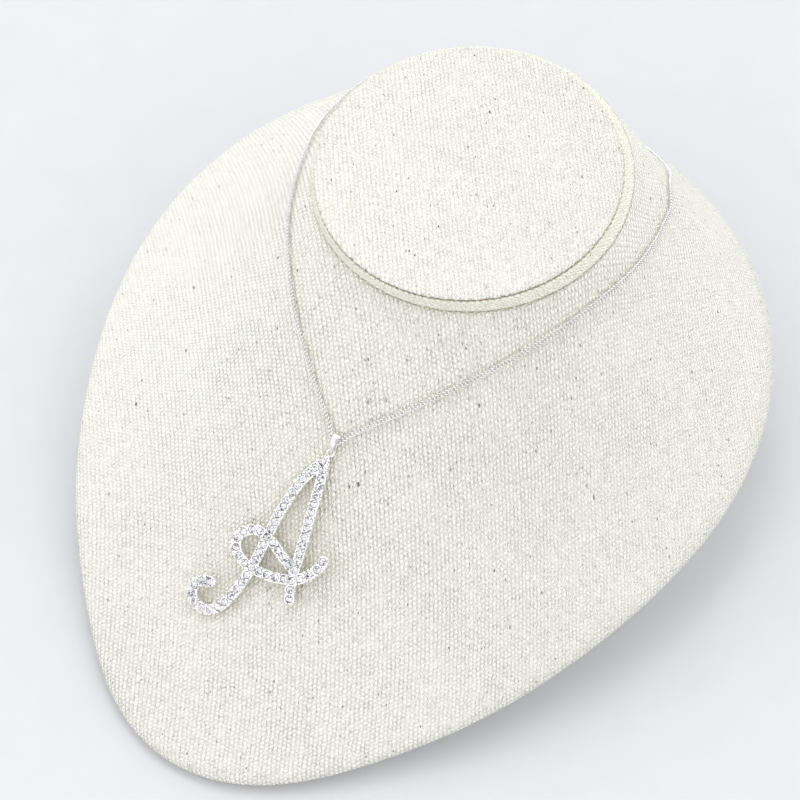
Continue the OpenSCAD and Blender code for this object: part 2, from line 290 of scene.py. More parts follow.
class Graph:
    """Short calls for one material's nodes.

    A value may be a number, a colour or another node's socket.
    """

    def __init__(self, name):
        self.material = bpy.data.materials.new(name)
        self.material.use_nodes = True
        self.tree = self.material.node_tree
        self.shader = self.tree.nodes["Principled BSDF"]

    def set(self, socket, value):
        if isinstance(value, bpy.types.NodeSocket):
            self.tree.links.new(value, socket)
        elif value is not None:
            socket.default_value = value

    def node(self, kind, *values, out=0, **settings):
        made = self.tree.nodes.new(kind)
        for name, value in settings.items():
            setattr(made, name, value)
        for socket, value in zip(made.inputs, values):
            self.set(socket, value)
        return made.outputs[out]

    def math(self, operation, a, b=None, c=None):
        return self.node("ShaderNodeMath", a, b, c, operation=operation)

    def wander(self, where, scale, detail, reach):
        """A noise that moves to either side of zero by up to the reach."""
        return self.math("MULTIPLY_ADD", self.noise(where, scale, detail), 2 * reach, -reach)

    def times(self, where, factors):
        return self.node("ShaderNodeVectorMath", where, factors, operation="MULTIPLY")

    def wave(self, phase, halves):
        """A cosine with so many half waves in each unit of the phase."""
        return self.math("COSINE", self.math("MULTIPLY", phase, halves * math.pi))

    def towards(self, direction):
        """How far the surface faces a direction, as a cosine."""
        facing = self.node("ShaderNodeNewGeometry", out=3)
        made = self.tree.nodes.new("ShaderNodeVectorMath")
        made.operation = "DOT_PRODUCT"
        self.set(made.inputs[0], facing)
        made.inputs[1].default_value = direction
        return made.outputs["Value"]

    def closed_in(self, samples, distance, low, high):
        """1 where other surfaces close this one in within a distance, 0 where it is free."""
        made = self.tree.nodes.new("ShaderNodeAmbientOcclusion")
        made.samples = samples
        made.inputs["Distance"].default_value = distance * MM
        return self.spread(made.outputs["AO"], low, high, 1.0, 0.0)

    def cells(self, where, scale):
        """Cell pattern: the distance to a cell's point, and two numbers drawn for each cell."""
        made = self.tree.nodes.new("ShaderNodeTexVoronoi")
        self.set(made.inputs["Vector"], where)
        made.inputs["Scale"].default_value = scale
        drawn = self.tree.nodes.new("ShaderNodeSeparateColor")
        self.set(drawn.inputs[0], made.outputs["Color"])
        return made.outputs["Distance"], drawn.outputs[0], drawn.outputs[1]

    def noise(self, where, scale, detail=2.0, rough=0.5):
        made = self.tree.nodes.new("ShaderNodeTexNoise")
        self.set(made.inputs["Vector"], where)
        made.inputs["Scale"].default_value = scale
        made.inputs["Detail"].default_value = detail
        made.inputs["Roughness"].default_value = rough
        return made.outputs["Fac"]

    def spread(self, value, low, high, to_low=0.0, to_high=1.0):
        return self.node("ShaderNodeMapRange", value, low, high, to_low, to_high, clamp=True)

    def mix(self, share, a, b, blend="MIX"):
        made = self.tree.nodes.new("ShaderNodeMix")
        made.data_type = "RGBA"
        made.blend_type = blend
        self.set(made.inputs["Factor"], share)
        self.set(made.inputs[6], a)
        self.set(made.inputs[7], b)
        return made.outputs[2]

    def vector(self, x, y, z=0.0):
        return self.node("ShaderNodeCombineXYZ", x, y, z)

    def bump(self, height, strength, distance, under=None):
        made = self.tree.nodes.new("ShaderNodeBump")
        made.inputs["Strength"].default_value = strength
        made.inputs["Distance"].default_value = distance
        self.set(made.inputs["Height"], height)
        self.set(made.inputs["Normal"], under)
        return made.outputs["Normal"]

    def principled(self, **values):
        for name, value in values.items():
            self.set(self.shader.inputs[name.replace("_", " ")], value)


# Linen: how far threads wander in broad and in small turns, mm, each way
SWAY = 0.55
FINE_WARP = 0.35
FINE_WEFT = 0.17
# Slant of the crossings, and how much sharper than a cosine the thick thread's crest is
SLANT = -0.9
CREST = 0.45
# What each part adds to the height: crossing, thick thread, chance from crossing to crossing,
# swelling of a thread, loose fibres
OVER, RIDGE, CHANCE, SLUB, FUZZ = 0.5, 0.75, 0.12, 0.12, 0.35
# Heights between which the painted shade on the thread beneath and in the slits between threads
# fades out
BENEATH_SHADE_HEIGHTS = (0.64, 0.92)
SLIT_SHADE_HEIGHTS = (0.12, 0.42)
BENEATH_SHADE = (0.6, 0.598, 0.578)
AGED = (0.89, 0.88, 0.8, 1)
BLEACHED = (0.98, 0.975, 0.95, 1)
FIBRE = (0.15, 0.135, 0.105, 1)
WARM_SHADE = (1.0, 0.97, 0.885, 1)
# Flecks: scale of the pattern, share of its cells without one, size
FLECKS = ((0.42, 0.6, 0.19), (1.1, 0.8, 0.3))
# Bump for a height of 1, metres: the threads, and the broad unevenness of the cloth
THREAD_BUMP = 0.00045
SLACK_BUMP = 0.002


def threads_height(g, u, v, warp_pitch, weft_pitch):
    """Height of the woven threads, from 0 to about 2, and the swelling of the fine ones."""
    flat = g.vector(u, v)
    moved = g.node("ShaderNodeVectorMath", flat, (37.0, 11.0, 5.0), operation="ADD")
    u_wander = g.math("ADD", g.wander(flat, 0.16, 3.0, SWAY), g.wander(flat, 0.9, 1.0, FINE_WARP))
    v_wander = g.math("ADD", g.wander(moved, 0.16, 3.0, SWAY), g.wander(moved, 0.9, 1.0, FINE_WEFT))
    warp = g.math("DIVIDE", g.math("ADD", u, u_wander), warp_pitch)
    weft = g.math("DIVIDE", g.math("ADD", v, v_wander), weft_pitch)
    # The yarn's twist slants each crossing.
    thread = g.math("ROUND", warp)
    slanted = g.math("MULTIPLY_ADD", g.math("SUBTRACT", warp, thread), SLANT, weft)
    thick = g.wave(warp, 1)
    crest = g.math("MULTIPLY_ADD", g.wave(warp, 3), CREST, thick)
    over = g.math("MULTIPLY", crest, g.wave(slanted, 1))
    ridge = g.math("MULTIPLY", thick, thick)
    # Each thread swells and thins along its own length, and each crossing differs from the next.
    along_warp = g.vector(thread, g.math("MULTIPLY", v, 0.16), 3.0)
    along_weft = g.vector(g.math("MULTIPLY", u, 0.13), g.math("ROUND", weft), 9.0)
    warp_slub = g.spread(g.noise(along_warp, 1.0, 2.0), 0.3, 0.75)
    weft_slub = g.spread(g.noise(along_weft, 1.0, 2.0), 0.3, 0.75)
    crossing = g.vector(g.math("MULTIPLY", thread, 3.7), slanted, 21.0)
    chance = g.spread(g.noise(crossing, 0.9, 1.0), 0.25, 0.75)
    fuzz = g.spread(g.noise(g.times(flat, (2.0, 1.0, 1.0)), 1.55, 2.0, 0.7), 0.3, 0.7)
    height = g.math("MULTIPLY", ridge, RIDGE)
    parts = ((over, OVER), (chance, CHANCE), (warp_slub, SLUB), (weft_slub, SLUB), (fuzz, FUZZ))
    for part, share in parts:
        height = g.math("MULTIPLY_ADD", part, share, height)
    return height, weft_slub


def linen_material(name, base, slit_shade, warp_pitch, weft_pitch):
    """Plain-woven linen: thick threads one way, fine ones the other, slubs, dark flecks, painted
    weave shade.
    """
    g = Graph(name)
    place = g.node("ShaderNodeAttribute", attribute_name="weave", out=1)
    apart = g.tree.nodes.new("ShaderNodeSeparateXYZ")
    g.set(apart.inputs[0], place)
    u, v, openness_and_shade = apart.outputs
    height, weft_slub = threads_height(g, u, v, warp_pitch, weft_pitch)
    # Colour: painted shade of the weave: bright crossings, a thread beneath painted duller and
    # slits beside it painted dark.
    beneath_shade_mask = g.math("MULTIPLY", g.spread(height, *BENEATH_SHADE_HEIGHTS, 1.0, 0.0), openness_and_shade)
    slit_shade_mask = g.math("MULTIPLY", g.spread(height, *SLIT_SHADE_HEIGHTS, 1.0, 0.0), openness_and_shade)
    beneath_shade_colour = (*(share * part for share, part in zip(BENEATH_SHADE, base)), 1)
    colour = g.mix(slit_shade_mask, g.mix(beneath_shade_mask, base, beneath_shade_colour), slit_shade)
    flat = g.vector(u, v)
    tone = g.noise(flat, 0.035, 3.0)
    colour = g.mix(g.spread(tone, 0.35, 0.7, 0.0, 0.2), colour, AGED)
    colour = g.mix(g.math("MULTIPLY", weft_slub, 0.16), colour, BLEACHED)
    # Flecks are short dark fibres, sparse and of uneven strength, lying along the threads.
    fleck_place = g.times(flat, (0.8, 0.5, 1.0))
    for scale, without, size in FLECKS:
        distance, drawn, strength = g.cells(fleck_place, scale)
        near = g.math("SUBTRACT", g.spread(drawn, without, 1.0, -0.02, size), distance)
        strength = g.spread(strength, 0.0, 1.0, 0.3, 1.0)
        fleck = g.math("MULTIPLY", g.spread(near, 0.0, 0.06), strength)
        colour = g.mix(fleck, colour, FIBRE)
    # Close under metal and in folds, light that has bounced off the cloth is warmer.
    colour = g.mix(g.closed_in(4, 6, 0.3, 0.95), colour, WARM_SHADE, "MULTIPLY")
    normal = g.bump(height, 1.0, THREAD_BUMP)
    normal = g.bump(g.noise(place, 0.06, 2.0), 0.35, SLACK_BUMP, normal)
    g.principled(Base_Color=colour, Roughness=0.88, Normal=normal)
    g.principled(Sheen_Weight=0.03, Sheen_Roughness=0.5, Specular_IOR_Level=0.15)
    return g.material


BEAD_GAP_SHADE = (0.08, 0.08, 0.09, 1)
SEAT_SHADE = (0.74, 0.74, 0.74, 1)


def silver_material(name, roughness, scratch, base, face=None):
    """Polished white metal with faint handling marks; a face given is duller than the cut edges and
    gets painted shade in its gaps and seats.
    """
    g = Graph(name)
    place = g.node("ShaderNodeTexCoord", out=3)
    marks = g.noise(place, 900.0, 3.0, 0.6)
    streaks = g.noise(g.times(place, (4000.0, 700.0, 1500.0)), 1.0, 2.0, 0.6)
    rough = g.spread(marks, 0.3, 0.7, roughness * 0.7, roughness * 1.5)
    metal = (*base, 1)
    if face is not None:
        # Between the beads the face is a little duller and has small dark specks, painted as the
        # shade in the gaps between beads and stones.
        gap_shade_specks = g.spread(g.noise(place, 1700.0, 1.0), 0.56, 0.6)
        specked_face = g.mix(gap_shade_specks, (*(0.97 * part for part in base), 1), BEAD_GAP_SHADE)
        metal = g.mix(g.spread(g.towards(face), 0.9, 0.98), metal, specked_face)
        # Inside the seats, where no cloth reaches, the metal is darkened: painted shade in the
        # recesses.
        metal = g.mix(g.closed_in(6, 0.5, 0.4, 0.85), metal, SEAT_SHADE)
    worn = (*(0.92 * part for part in base), 1)
    colour = g.mix(g.spread(marks, 0.35, 0.75, 0.0, 0.5), metal, worn)
    g.principled(Base_Color=colour, Metallic=1.0, Roughness=rough)
    g.principled(Normal=g.bump(streaks, scratch, 0.00002))
    return g.material


STONE_TINTS = ((0.985, 0.99, 1.0, 1), (0.95, 0.965, 0.99, 1))
STONE_DARK_REFLECTION = (0.0, 0.0, 0.005, 1)
STONE_IOR = 2.15
# Drawn numbers, 0 to 1, between which a cell of the stone turns into a painted dark reflection
DARK_REFLECTION_FROM = (0.79, 0.81)


def stone_material():
    """Clear, strongly refracting stone, with dark reflections painted into its tint."""
    g = Graph("clear_stone")
    place = g.node("ShaderNodeTexCoord", out=3)
    haze = g.noise(place, 700.0, 2.0)
    tint = g.mix(g.spread(haze, 0.3, 0.7), *STONE_TINTS)
    # Dark specks painted into the tint stand in for the facets' reflections of the dark parts of
    # the room.
    _, drawn, _ = g.cells(place, 1800.0)
    crown = g.spread(g.towards(HANG_NORMAL), 0.1, 0.2)
    dark_reflections = g.math("MULTIPLY", g.spread(drawn, *DARK_REFLECTION_FROM), crown)
    tint = g.mix(dark_reflections, tint, STONE_DARK_REFLECTION)
    g.principled(Base_Color=tint, Roughness=g.spread(haze, 0.35, 0.75, 0.0, 0.03))
    g.principled(IOR=STONE_IOR, Transmission_Weight=1.0, Specular_IOR_Level=0.4)
    return g.material


# Cloth colours; the second of each pair is the painted shade in the slits between threads.
LINEN_BASE = (0.985, 0.98, 0.928, 1)
LINEN_SLIT_SHADE = (0.05, 0.048, 0.04, 1)
BAND_BASE = (0.99, 0.985, 0.88, 1)
BAND_SLIT_SHADE = (0.7, 0.68, 0.55, 1)
BAND_WARP_PITCH = 1.1
BAND_WEFT_PITCH = 0.8
linen = linen_material("linen", LINEN_BASE, LINEN_SLIT_SHADE, WARP_PITCH, WEFT_PITCH)
band_linen = linen_material("band_linen", BAND_BASE, BAND_SLIT_SHADE, BAND_WARP_PITCH, BAND_WEFT_PITCH)
SILVER_BASE = (0.72, 0.72, 0.73)
PLATE_BASE = (0.92, 0.92, 0.92)
BAIL_BASE = (0.8, 0.795, 0.785)
CHAIN_BASE = (0.84, 0.84, 0.84)
silver = silver_material("silver", roughness=0.16, scratch=0.25, base=SILVER_BASE)
plate_silver = silver_material(
    "plate_silver", roughness=0.2, scratch=0.3, base=PLATE_BASE, face=HANG_NORMAL
)
bail_silver = silver_material("bail_silver", roughness=0.26, scratch=0.4, base=BAIL_BASE)
chain_silver = silver_material("chain_silver", roughness=0.14, scratch=0.15, base=CHAIN_BASE)
clear_stone = stone_material()


# Cloth of the bust

TURNS = 420
turn = np.arange(TURNS) * 2 * math.pi / TURNS
# Inward from the neck's edge and up: the cloth's lip round the neck
LIP = [(2.2, -0.3), (1.3, -0.16), (0.7, -0.1)]
# Inward from the outline and down: the turn of the cloth under the edge
UNDER = [(0, 0), (0.2, 0.5), (0.5, 1), (1.1, 1.65), (2, 2.1), (3.2, 2.45), (4.5, ROLL_UNDER)]
CHEST_ROWS = 110
ROLL_ROWS = 12
WALL_ROWS = 12
RIPPLES = 14
RIPPLE_H = 0.3
# Share of the chest's slope that the laid-flat cloth takes up
SLOPE_LET_OUT = 0.25
# How strongly the weave's painted shade shows, with the cloth taken as pulled open down the front
# and closest behind: mean, swing, and where strongest.
OPEN_AND_SHADE_MEAN = 0.85
OPEN_AND_SHADE_SWING = 0.25
OPEN_AND_SHADE_AT = math.radians(20)


def bust_cloth():
    lip = [neck_pt(turn, inset, up) for inset, up in LIP]
    flat_share = 1 - ROLL_W / plan_l(turn)
    chest = [chest_pt(turn, t * flat_share) for t in np.linspace(0, 1, CHEST_ROWS)]
    roll = [
        chest_pt(turn, 1 - ROLL_W * (1 - math.sin(t)) / plan_l(turn))
        for t in np.linspace(0, math.pi / 2, ROLL_ROWS)[1:-1]
    ]
    under = [rim_pt(turn, inset, drop) for inset, drop in UNDER]
    foot_inset = FOOT_TIP + FOOT_BACK * (1 - np.cos(turn)) / 2
    foot = rim_pt(turn, foot_inset)
    foot[:, 2] = 0
    last = under[-1]
    wall = [last + (foot - last) * t for t in np.linspace(0, 1, WALL_ROWS)[1:]]
    rings = np.array(lip + chest + roll + under + wall)
    plan = cloth_plan(rings, len(lip) + len(chest) - 1, SLOPE_LET_OUT)
    openness_and_shade = OPEN_AND_SHADE_MEAN + OPEN_AND_SHADE_SWING * np.cos(turn - OPEN_AND_SHADE_AT)[None, :]
    threads = weave(plan, openness_and_shade, bow=BOW)
    # The cloth isn't quite even: a shallow unevenness that fades at the neck and the edge.
    shares = np.linspace(0, 1, CHEST_ROWS)[:, None]
    fade = np.sin(math.pi * shares) ** 0.6
    for _ in range(RIPPLES):
        round_count = rng.integers(3, 22)
        down_count = rng.uniform(0.5, 4)
        phase = rng.uniform(0, 2 * math.pi, 2)
        size = RIPPLE_H / round_count**0.6
        ripple = np.cos(round_count * turn + phase[0])
        ripple = ripple * np.cos(math.pi * down_count * shares + phase[1])
        rings[len(lip) : len(lip) + CHEST_ROWS, :, 2] += size * fade * ripple
    faces = grid_faces(len(rings), TURNS)
    faces = [f[::-1] for f in faces]
    top = tuple(range(TURNS))
    bottom = tuple((len(rings) - 1) * TURNS + k for k in range(TURNS))[::-1]
    make_piece("bust_cloth", rings, [*faces, top, bottom], linen, ["bust_body"], threads)


# Profile of the band: share of the way from the neck up to the pad, inward, up
BAND = [
    (0, 2, 0.05), (0, 0.8, 0.3), (0.1, 0.1, 0.3), (0.3, -0.3, 0.2),
    (0.55, -0.3, 0), (0.75, -0.4, 0.35), (0.9, -0.35, 0.75), (0.95, 0.0, 0.65), (1, 0.5, 0.2),
    (1, 0.6, -0.05), (1, 2.4, 0),
]


def smooth_rows(rows, per_row):
    """Rows of numbers with smooth ones put in between, through the given ones."""
    rows = np.asarray(rows, float)
    made = []
    for i in range(len(rows) - 1):
        p0, p1, p2 = rows[max(i - 1, 0)], rows[i], rows[i + 1]
        p3 = rows[min(i + 2, len(rows) - 1)]
        for t in np.arange(per_row) / per_row:
            made.append(
                0.5
                * (
                    2 * p1
                    + (p2 - p0) * t
                    + (2 * p0 - 5 * p1 + 4 * p2 - p3) * t**2
                    + (3 * p1 - p0 - 3 * p2 + p3) * t**3
                )
            )
    return np.array([*made, rows[-1]])


def edge_waver(count, low, high, size):
    """Small uneven gathers round a ring."""
    made = np.zeros(TURNS)
    for _ in range(count):
        k = rng.integers(low, high)
        made += size * rng.uniform(0.4, 1) * np.cos(k * turn + rng.uniform(0, 2 * math.pi))
    return made / math.sqrt(count)


# How strongly the band's weave shows its painted shade
BAND_OPEN_AND_SHADE = 0.5


def neck_cloth():
    profile = smooth_rows(BAND, 4)
    rings = []
    gathers = edge_waver(count=14, low=20, high=110, size=0.11)
    for share, inset, up in profile:
        swell = math.sin(math.pi * min(max(share, 0), 1))
        inset_here = inset - gathers * (0.35 + 0.65 * swell)
        low = neck_pt(turn, inset_here, up)
        high = pad_pt(turn, inset_here, BAND_TOP + up)
        rings.append(low * (1 - share) + high * share)
    rings = np.array(rings)
    step = np.linalg.norm(np.diff(rings, axis=0, prepend=rings[:1]), axis=-1)
    run_up = np.cumsum(step, axis=0)
    # Numbered from behind the neck both ways round, so the threads meet without a step.
    threads = stack(NECK_R * np.abs(turn - math.pi)[None, :], run_up, BAND_OPEN_AND_SHADE)
    faces = grid_faces(len(rings), TURNS)
    top = tuple((len(rings) - 1) * TURNS + k for k in range(TURNS))
    bottom = tuple(range(TURNS))[::-1]
    faces += [top, bottom]
    make_piece("band_cloth", rings, faces, band_linen, ["neck_band"], threads)


# Profile of the pad from its middle outward and under: inward from its edge, share of its height
PAD = [
    (30, 0.57), (12, 0.55), (5, 0.5), (2.4, 0.45), (1.2, 0.39), (0.5, 0.28), (0.12, 0.12),
    (0, -0.05), (0.35, -0.2), (1, -0.32), (2.4, -0.43),
]
PAD_CENTRE = (PAD_B - 1, 0.585)
PAD_STEPS = 6
# Rows of the pad's cloth against those of the chest's
PAD_ROWS = 0.94
# How strongly the pad's weave shows its painted shade
PAD_OPEN_AND_SHADE = 0.86
PAD_SLANT = 0.09
# How far in from the pad's edge its gathers reach
GATHER_REACH = 6


def pad_cloth():
    profile = smooth_rows([PAD_CENTRE, *PAD], PAD_STEPS)
    gathers = edge_waver(count=30, low=40, high=200, size=0.26)
    rings = []
    for inset, share in profile:
        edge = max(0, 1 - inset / GATHER_REACH)
        rings.append(pad_pt(turn, inset - gathers * edge, share * PAD_H))
    rings = np.array(rings)
    widest = int(np.argmin(np.abs(profile[:, 0])))
    plan = cloth_plan(rings, widest - PAD_STEPS, 0.0)
    threads = weave(plan, PAD_OPEN_AND_SHADE, lean=PAD_SLANT)
    threads[..., 1] *= PAD_ROWS
    faces = grid_faces(len(rings), TURNS)
    faces = [f[::-1] for f in faces]
    top = tuple(range(TURNS))
    bottom = tuple((len(rings) - 1) * TURNS + k for k in range(TURNS))[::-1]
    faces += [top, bottom]
    cloth = make_piece("pad_cloth", rings, faces, linen, ["neck_pad"], threads)


# Chain

TAIL_R = (1 - TAIL_S) * NECK_R + TAIL_S * rim_r(math.pi)
TAIL_A = 180 - math.degrees(math.asin((CLASP_L / 2 + CLASP_GAP) / TAIL_R))
# Route from the clasp round the right side to the bail and back:
# degrees on the bust, share of the way to the outline, extra lift off the cloth.
ROUTE = [
    [TAIL_A, TAIL_S, 0], [168, 0.53, 0], [160, 0.475, 0], [152.5, 0.4, 0], [146, 0.33, 0],
    [142.5, 0.304, 0], [139.5, 0.294, 0], [136.5, 0.282, 0], [133, 0.258, 0], [129, 0.231, 0],
    [123, 0.204, 0], [116, 0.175, 0], [98.5, 0.121, 0], [81.5, 0.087, 0], [64, 0.082, 0],
    [50, 0.097, 0], [37, 0.122, 0], [24.5, 0.157, 0], [13, 0.201, 0], [6, 0.236, 0.15],
    [3.5, 0.2545, 0.5], [2.65, 0.261, 0.6], [2, 0.264, 0.6], [1.4, 0.2645, 0.6],
    [0.8, 0.264, 0.6], [0.15, 0.261, 0.55], [-0.65, 0.2545, 0.4], [-3.4, 0.236, 0.05],
    [-11, 0.201, 0], [-20, 0.166, 0], [-31, 0.136, 0], [-43, 0.106, 0], [-57, 0.083, 0],
    [-70, 0.067, 0], [-82, 0.061, 0], [-89, 0.076, 0], [-96, 0.11, 0], [-104, 0.148, 0],
    [-113, 0.21, 0], [-122, 0.275, 0], [-132, 0.34, 0], [-143, 0.41, 0], [-154, 0.47, 0],
    [-164, 0.52, 0], [-172, 0.55, 0], [-TAIL_A, TAIL_S, 0],
]
LINK_PITCH = 1.22
LINK_L = 2.02
LINK_W = 1.86
LINK_WIRE = 0.42
LINK_TWIST = math.radians(50)
LINK_ROLL = math.radians(5)
# The first link's centre from the chain's end, and how far along the line a link takes its course
LINK_FROM = 0.3
LINK_REACH = 0.4
LINK_SIDES = 16
WIRE_SIDES = 6


def chain_route():
    """Centres and outward directions along the chain's line, closely spaced."""
    q = smooth_rows(ROUTE, 12)
    a, s = np.radians(q[:, 0]), q[:, 1]
    up = chest_up(a, s)
    return chest_pt(a, s) + up * (CHAIN_D / 2 + CHAIN_GAP + q[:, 2:3]), up


def at_distances(line, run, where):
    return np.stack([np.interp(where, run, line[:, c]) for c in range(3)], axis=-1)


def curb_link():
    """One link along X, flat in XY and twisted at its ends, as rings of a round wire."""
    t = np.arange(LINK_SIDES) * 2 * math.pi / LINK_SIDES
    half_l, half_w = (LINK_L - LINK_WIRE) / 2, (LINK_W - LINK_WIRE) / 2

    def line(t):
        x = half_l * np.cos(t)
        y = half_w * np.sin(t)
        turned = LINK_TWIST * x / half_l
        return stack(x, y * np.cos(turned), y * np.sin(turned))

    centre = line(t)
    along = unit(line(t + 0.01) - line(t - 0.01))
    out = unit(centre)
    out = unit(out - along * np.sum(out * along, axis=-1, keepdims=True))
    side = np.cross(along, out)
    w = np.arange(WIRE_SIDES) * 2 * math.pi / WIRE_SIDES
    ring = out[:, None] * np.cos(w)[None, :, None] + side[:, None] * np.sin(w)[None, :, None]
    return centre[:, None] + ring * LINK_WIRE / 2


def chain_links():
    line, up = chain_route()
    run = np.concatenate([[0], np.cumsum(np.linalg.norm(np.diff(line, axis=0), axis=-1))])
    count = round((run[-1] - 2 * LINK_FROM) / LINK_PITCH)
    where = np.linspace(LINK_FROM, run[-1] - LINK_FROM, count)
    centre = at_distances(line, run, where)
    ahead = unit(
        at_distances(line, run, where + LINK_REACH) - at_distances(line, run, where - LINK_REACH)
    )
    out = at_distances(up, run, where)
    out = unit(out - ahead * np.sum(out * ahead, axis=-1, keepdims=True))
    side = np.cross(out, ahead)
    # Links lean a little, each its own way.
    roll = rng.normal(0, LINK_ROLL, count)[:, None]
    side, out = side * np.cos(roll) + out * np.sin(roll), out * np.cos(roll) - side * np.sin(roll)
    link = curb_link()
    points = (
        centre[:, None, None]
        + link[None, ..., 0:1] * ahead[:, None, None]
        + link[None, ..., 1:2] * side[:, None, None]
        + link[None, ..., 2:3] * out[:, None, None]
    )
    one = grid_faces(LINK_SIDES, WIRE_SIDES, closed_rows=True)
    size = LINK_SIDES * WIRE_SIDES
    faces = [tuple(i + k * size for i in f) for k in range(count) for f in one]
    make_piece("chain_links", points, faces, chain_silver, ["chain"])
    return count


CLASP_END = 1.3
CLASP_RING_R = 0.75
CLASP_RING_WIRE = 0.25


def clasp_piece():
    """Plain oval clasp with a small ring at each end that holds the last link."""
    a, s = math.pi, TAIL_S
    up = chest_up(a, np.array(s))
    across = np.cross(up, [1.0, 0, 0])
    middle = chest_pt(a, s) + up * (CLASP_T / 2 + CLASP_LIFT)
    rows, around = 20, 24
    phi = np.linspace(0, math.pi, rows + 2)[1:-1]
    theta = np.arange(around) * 2 * math.pi / around
    body_half = CLASP_L / 2 - CLASP_END
    x = -np.cos(phi) * body_half
    r = np.sin(phi) ** 0.6
    rings = (
        middle
        + x[:, None, None] * np.array([1.0, 0, 0])
        + r[:, None, None] * CLASP_T / 2 * np.cos(theta)[None, :, None] * up
        + r[:, None, None] * CLASP_W / 2 * np.sin(theta)[None, :, None] * across
    )
    faces = grid_faces(rows, around)
    faces += [tuple(range(around))[::-1], tuple((rows - 1) * around + k for k in range(around))]
    points = list(rings.reshape(-1, 3))
    ring_rows, ring_around = 20, 8
    wire_angles = np.arange(ring_around)[:, None] * 2 * math.pi / ring_around
    for end in (-1, 1):
        start = len(points)
        spot = middle + np.array([end * (body_half + CLASP_RING_R - 0.1), 0, 0])
        for angle in np.arange(ring_rows) * 2 * math.pi / ring_rows:
            out = np.array([1.0, 0, 0]) * math.cos(angle) + across * math.sin(angle)
            section = out * np.cos(wire_angles) + up * np.sin(wire_angles)
            points += list(spot + out * CLASP_RING_R + CLASP_RING_WIRE * section)
        rings_faces = grid_faces(ring_rows, ring_around, closed_rows=True)
        faces += [tuple(i + start for i in f) for f in rings_faces]
    make_piece("clasp_body", np.array(points), faces, silver, ["clasp"])


# Pendant, drawn in its own plane: X across, Y up to the apex, Z off the cloth

LEFT_LEG = [
    [0.45, -3.3], [-1.3, -7], [-3.1, -11], [-4.4, -15.5], [-5.2, -20.5], [-5.9, -25],
    [-6.3, -31], [-6.6, -38], [-7.1, -45], [-8.3, -52], [-10.3, -58.5], [-12.3, -62],
    [-15, -64.2], [-18, -64.6], [-21, -63.5], [-22.7, -61], [-22.2, -57.9], [-20.2, -56],
    [-18, -55.5],
]
RIGHT_LEG = [
    [1.2, -3.3], [1.7, -5.5], [2.6, -10], [3.4, -15], [4.1, -20.5], [4.9, -25.5], [5.7, -31],
    [6.4, -36], [7, -41], [8, -45.5], [9.6, -50],
]
CROSS_BAR = [
    [6.7, -39.3], [3.5, -38], [0.3, -36.6], [-2.8, -34.9], [-6.6, -33.5], [-10.3, -33],
    [-13.5, -34.5], [-15.4, -37], [-15.4, -40], [-13.6, -42.7], [-10.3, -44.5], [-6.5, -45],
    [-0.5, -44.7], [4.2, -43.5], [7.7, -42.3], [10.4, -40], [12.5, -37.4], [14, -34.6],
    [14.4, -32],
]
STROKES = [smooth_rows(rows, 8) for rows in (LEFT_LEG, RIGHT_LEG, CROSS_BAR)]
# Rows of stones: stroke, distance of the first and of the last stone along it, how many.
STONE_ROWS = [
    (0, 0, 0, 1), (0, 3.1, 31.4, 11), (0, 34.25, 42.8, 4), (0, 45.75, 81.6, 13),
    (1, 2.5, 36.3, 13), (1, 39.9, 39.9, 1), (1, 42.9, 45.9, 2),
    (2, 2.8, 11.7, 4), (2, 17.3, 35.6, 7), (2, 41.2, 50.3, 4), (2, 55.9, 65.9, 4),
]
# The cut stones are a little smaller than their seats, so a rim of metal shows round each.
GEM_D = 2.26
GEM_TILT = math.radians(1.5)
GIRDLE_Z = PLATE_T - 0.05
CROWN_H = 0.42
PAVILION_H = 1.05
GIRDLE_T = 0.06


def hang(points):
    """From the pendant's own axes to the part's."""
    c, s = math.cos(HANG_SLOPE), math.sin(HANG_SLOPE)
    x, y, z = np.moveaxis(np.asarray(points, float), -1, 0)
    return stack(x, APEX_Y + y * c - z * s, APEX_Z + y * s + z * c)


def stroke_at(stroke, distance):
    line = STROKES[stroke]
    run = np.concatenate([[0], np.cumsum(np.linalg.norm(np.diff(line, axis=0), axis=-1))])
    spot = np.array([np.interp(distance, run, line[:, c]) for c in (0, 1)])
    ahead = np.array([np.interp(distance + 0.3, run, line[:, c]) for c in (0, 1)])
    behind = np.array([np.interp(distance - 0.3, run, line[:, c]) for c in (0, 1)])
    return spot, unit(ahead - behind)


def stone_places():
    """Centre and stroke direction of each stone, row by row."""
    rows = []
    for stroke, first, last, count in STONE_ROWS:
        rows.append([stroke_at(stroke, d) for d in np.linspace(first, last, count)])
    return rows


